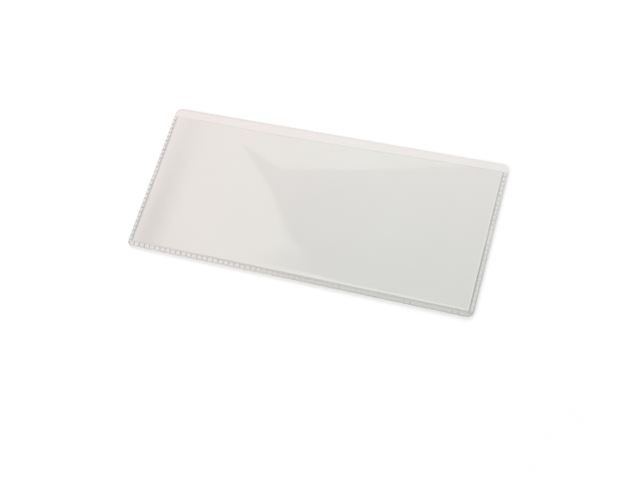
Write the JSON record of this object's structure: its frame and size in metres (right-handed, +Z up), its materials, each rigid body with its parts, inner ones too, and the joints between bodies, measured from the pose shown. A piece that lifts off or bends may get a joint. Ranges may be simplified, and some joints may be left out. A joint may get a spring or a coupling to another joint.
{
  "type": "magnetic document pocket",
  "caption": "Flat clear-fronted document pocket with a white back sheet, welded along its sides and bottom, open at the top, with flexible magnet strips on the back.",
  "frame": {"origin": "on the surface that the pocket lies on, under the middle of its outline", "axes": "+X along the pocket's long side, +Y towards its open mouth, +Z up out of the clear front film"},
  "size_m": [0.23, 0.104, 0.0022],
  "materials": {
    "white_sheet": "satin soft PVC sheet, warm white",
    "clear_film": "glossy clear soft PVC film",
    "magnet_rubber": "matt dark brown rubber-bonded magnet strip",
    "adhesive_tape": "off-white double-sided tape"
  },
  "bodies": {
    "root": {"back_sheet": "white_sheet", "front_film": "clear_film", "magnet_strip_top": "magnet_rubber", "adhesive_tape_top": "adhesive_tape", "magnet_strip_bottom": "magnet_rubber", "adhesive_tape_bottom": "adhesive_tape"}
  },
  "joints": []
}
